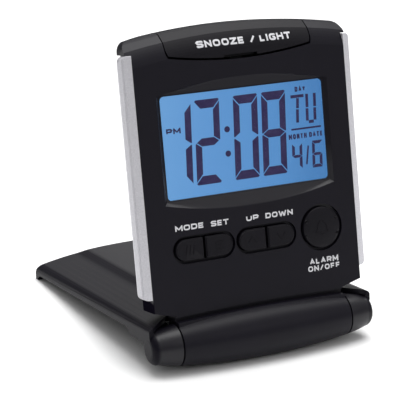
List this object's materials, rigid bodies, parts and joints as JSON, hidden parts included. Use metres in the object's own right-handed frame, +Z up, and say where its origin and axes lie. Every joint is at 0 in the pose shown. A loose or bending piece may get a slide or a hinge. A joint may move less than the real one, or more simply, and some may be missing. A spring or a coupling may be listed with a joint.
{
  "type": "folding travel alarm clock",
  "caption": "Folding digital travel alarm clock that leans back against its own hinged cover, with display, face buttons, snooze bar and coin cell bay.",
  "frame": {"origin": "centre of the bounding box in X and Y, on the surface it stands on", "axes": "+X to the viewer's right when facing the display, +Y towards the back where the cover lies, +Z up"},
  "size_m": [0.071, 0.0956, 0.0908],
  "materials": {
    "case_plastic": "fine satin moulded plastic, near black",
    "rear_plastic": "fine textured moulded plastic, near black",
    "button_plastic": "satin moulded plastic, near black",
    "cover_plastic": "fine satin moulded plastic, dark grey",
    "trim_silver": "satin silver paint",
    "window_clear": "clear glossy plastic window",
    "display": "liquid crystal display, lit blue, dark segments",
    "frame_white": "white moulded plastic",
    "connector_rubber": "pink conductive rubber strip",
    "guide_clear": "clear moulded plastic",
    "led": "moulded lamp package",
    "board": "green glass-epoxy laminate",
    "blob": "black epoxy drop",
    "can_steel": "plated steel can",
    "mat_rubber": "grey silicone rubber",
    "spring_steel": "bright spring steel",
    "switch": "black moulded switch",
    "cell": "nickel-plated steel",
    "contact": "tin-plated brass",
    "buzzer_brass": "brass disc with a pale ceramic layer",
    "screw_steel": "zinc-plated steel",
    "pin_steel": "bright steel",
    "washer": "black nylon friction washer"
  },
  "bodies": {
    "clock": {"front_case": "case_plastic", "rear_case": "rear_plastic", "left_trim": "trim_silver", "right_trim": "trim_silver", "lcd_window": "window_clear", "lcd_panel": "display", "lcd_frame": "frame_white", "lcd_connector": "connector_rubber", "backlight_guide": "guide_clear", "backlight_leds": "led", "main_board": "board", "chip_blob": "blob", "quartz_crystal": "can_steel", "keypad_mat": "mat_rubber", "snooze_spring": "spring_steel", "snooze_switch": "switch", "coin_cell": "cell", "cell_minus_contact": "contact", "cell_plus_contact": "contact", "buzzer": "buzzer_brass", "buzzer_pins": "contact", "case_screws": "screw_steel", "board_screws": "screw_steel", "hinge_washers": "washer"},
    "cover_body": {"cover": "cover_plastic", "left_hinge_pin": "pin_steel", "right_hinge_pin": "pin_steel"},
    "mode_body": {"mode_button": "button_plastic"},
    "set_body": {"set_button": "button_plastic"},
    "up_body": {"up_button": "button_plastic"},
    "down_body": {"down_button": "button_plastic"},
    "alarm_body": {"alarm_button": "button_plastic"},
    "snooze_body": {"snooze_button": "button_plastic"},
    "battery_door_body": {"battery_door": "rear_plastic"}
  },
  "joints": [
    {"name": "cover_hinge", "type": "hinge", "parent": "clock", "child": "cover_body", "pos_m": [0, -0.0402, 0.00725], "axis": [-1, 0, 0], "range_deg": [0, 276.2]},
    {"name": "mode_press", "type": "slide", "parent": "clock", "child": "mode_body", "axis": [0, 0.9816, -0.1908], "range_m": [0, 0.0007], "stiffness_N_per_m": 900, "springref_m": -0.0006, "deforming": ["keypad_mat"]},
    {"name": "set_press", "type": "slide", "parent": "clock", "child": "set_body", "axis": [0, 0.9816, -0.1908], "range_m": [0, 0.0007], "stiffness_N_per_m": 900, "springref_m": -0.0006, "deforming": ["keypad_mat"]},
    {"name": "up_press", "type": "slide", "parent": "clock", "child": "up_body", "axis": [0, 0.9816, -0.1908], "range_m": [0, 0.0007], "stiffness_N_per_m": 900, "springref_m": -0.0006, "deforming": ["keypad_mat"]},
    {"name": "down_press", "type": "slide", "parent": "clock", "child": "down_body", "axis": [0, 0.9816, -0.1908], "range_m": [0, 0.0007], "stiffness_N_per_m": 900, "springref_m": -0.0006, "deforming": ["keypad_mat"]},
    {"name": "alarm_press", "type": "slide", "parent": "clock", "child": "alarm_body", "axis": [0, 0.9816, -0.1908], "range_m": [0, 0.0007], "stiffness_N_per_m": 900, "springref_m": -0.0006, "deforming": ["keypad_mat"]},
    {"name": "snooze_press", "type": "slide", "parent": "clock", "child": "snooze_body", "axis": [0, 0.5592, -0.829], "range_m": [0, 0.0007], "stiffness_N_per_m": 900, "springref_m": -0.001, "deforming": ["snooze_spring"]},
    {"name": "battery_door_turn", "type": "hinge", "parent": "clock", "child": "battery_door_body", "pos_m": [0, -0.02124, 0.05654], "axis": [0, 0.9816, -0.1908], "range_deg": [0, 60]}
  ]
}
